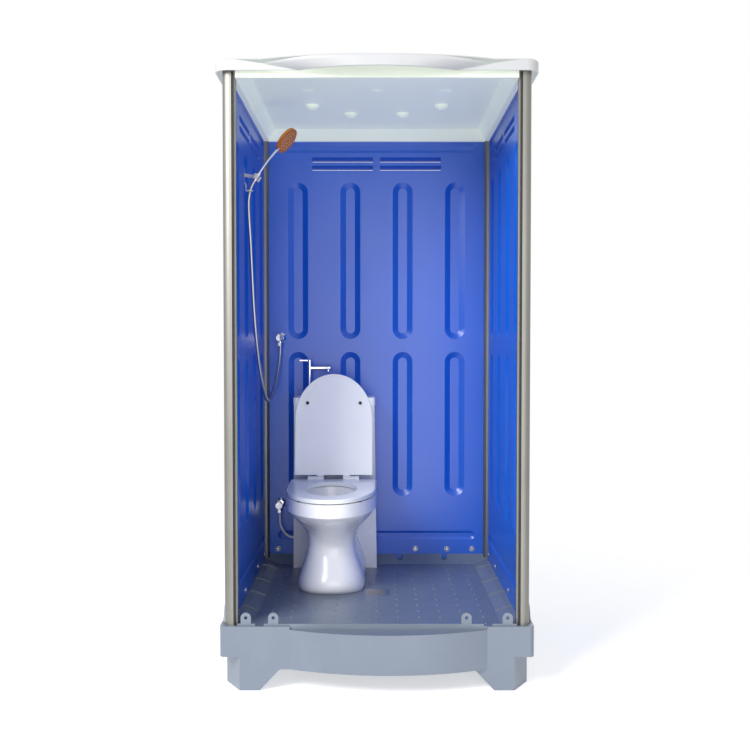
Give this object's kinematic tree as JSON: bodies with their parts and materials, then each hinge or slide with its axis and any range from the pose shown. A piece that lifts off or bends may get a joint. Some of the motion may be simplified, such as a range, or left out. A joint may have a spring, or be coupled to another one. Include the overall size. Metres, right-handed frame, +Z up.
{
  "type": "portable toilet cabin",
  "caption": "Open-fronted portable washroom cabin with moulded walls on corner posts, a one-piece toilet, a wall shower set and a floor drain on a raised base.",
  "frame": {"origin": "on the ground under the middle of the overall footprint", "axes": "+Z up, -Y out of the open front, +X to the right seen from the front"},
  "size_m": [1.118, 1.179, 2.242],
  "materials": {
    "base_plastic": "satin moulded polyethylene",
    "wall_plastic": "satin moulded polyethylene",
    "roof_plastic": "smooth white",
    "liner_plastic": "pale translucent",
    "post_aluminium": "anodised",
    "seal_rubber": "black",
    "screw_steel": "bright",
    "drain_steel": "brushed",
    "pipe_plastic": "grey pipe",
    "sanitary_ceramic": "white glaze",
    "seat_plastic": "white",
    "works_plastic": "moulded",
    "hose_white": "braided white",
    "chrome": "polished",
    "hose_steel": "strip wound",
    "stub_brass": "plain",
    "handset_orange": "translucent orange"
  },
  "bodies": {
    "cabin": {"base_tray": "base_plastic", "left_wall_panel": "wall_plastic", "right_wall_panel": "wall_plastic", "back_wall_panel": "wall_plastic", "roof_shell": "roof_plastic", "ceiling_liner": "liner_plastic", "front_left_post": "post_aluminium", "front_right_post": "post_aluminium", "rear_left_post": "post_aluminium", "rear_right_post": "post_aluminium", "front_left_seal": "seal_rubber", "front_right_seal": "seal_rubber", "waste_seal": "seal_rubber", "flush_seal": "seal_rubber", "panel_screws": "screw_steel", "roof_screws": "screw_steel", "drain_body": "drain_steel", "waste_stub": "pipe_plastic", "toilet_body": "sanitary_ceramic", "tank_lid": "sanitary_ceramic", "hinge_posts": "seat_plastic", "flush_valve": "works_plastic", "fill_valve": "works_plastic", "inlet_nut": "works_plastic", "tap_lock_nut": "works_plastic", "supply_hose": "hose_white", "flush_bezel": "chrome", "hinge_pins": "chrome", "toilet_valve_rose": "chrome", "toilet_valve_body": "chrome", "shower_valve_rose": "chrome", "shower_valve_body": "chrome", "supply_hose_nuts": "chrome", "shower_hose_nut": "chrome", "shower_bracket": "chrome", "tap_body": "chrome", "tap_base_ring": "chrome", "tap_aerator": "chrome", "shower_hose": "hose_steel", "supply_stubs": "stub_brass", "supply_nuts": "stub_brass"},
    "seat": {"seat_ring": "seat_plastic", "seat_bumpers": "seal_rubber"},
    "cover": {"seat_cover": "seat_plastic", "cover_bumpers": "seal_rubber"},
    "full_button": {"full_flush_button": "chrome"},
    "half_button": {"half_flush_button": "chrome"},
    "tap_handle": {"tap_lever": "chrome"},
    "shower_knob": {"shower_valve_knob": "chrome"},
    "toilet_knob": {"toilet_valve_knob": "chrome"},
    "handset": {"handset_handle": "chrome", "handset_head": "handset_orange", "handset_faceplate": "handset_orange", "hose_cone_nut": "chrome"},
    "grate": {"drain_grate": "drain_steel"},
    "float": {"fill_float": "works_plastic"}
  },
  "joints": [
    {"name": "cover_hinge", "type": "hinge", "parent": "cabin", "child": "cover", "pos_m": [-0.185, 0.2548, 0.63399], "axis": [1, 0, 0], "range_deg": [0, 100.5]},
    {"name": "seat_hinge", "type": "hinge", "parent": "cabin", "child": "seat", "pos_m": [-0.185, 0.2548, 0.63399], "axis": [1, 0, 0], "range_deg": [-100.5, 0]},
    {"name": "full_flush_press", "type": "slide", "parent": "cabin", "child": "full_button", "axis": [0, 0, -1], "range_m": [0, 0.006], "stiffness_N_per_m": 400},
    {"name": "half_flush_press", "type": "slide", "parent": "cabin", "child": "half_button", "axis": [0, 0, -1], "range_m": [0, 0.006], "stiffness_N_per_m": 400},
    {"name": "tap_turn", "type": "hinge", "parent": "cabin", "child": "tap_handle", "pos_m": [-0.3, 0.4605, 1.13], "axis": [0, 0, 1], "range_deg": [0, 90]},
    {"name": "shower_knob_turn", "type": "hinge", "parent": "cabin", "child": "shower_knob", "pos_m": [-0.435, 0.466, 1.239], "axis": [0, -1, 0], "range_deg": [0, 90]},
    {"name": "toilet_knob_turn", "type": "hinge", "parent": "cabin", "child": "toilet_knob", "pos_m": [-0.44, 0.466, 0.483], "axis": [0, -1, 0], "range_deg": [0, 90]},
    {"name": "handset_lift", "type": "slide", "parent": "cabin", "child": "handset", "axis": [0.4698, 0.2399, 0.8496], "range_m": [0, 0.1]},
    {"name": "grate_lift", "type": "slide", "parent": "cabin", "child": "grate", "axis": [0, 0, 1], "range_m": [0, 0.05]},
    {"name": "float_rise", "type": "slide", "parent": "cabin", "child": "float", "axis": [0, 0, 1], "range_m": [0, 0.12]}
  ]
}
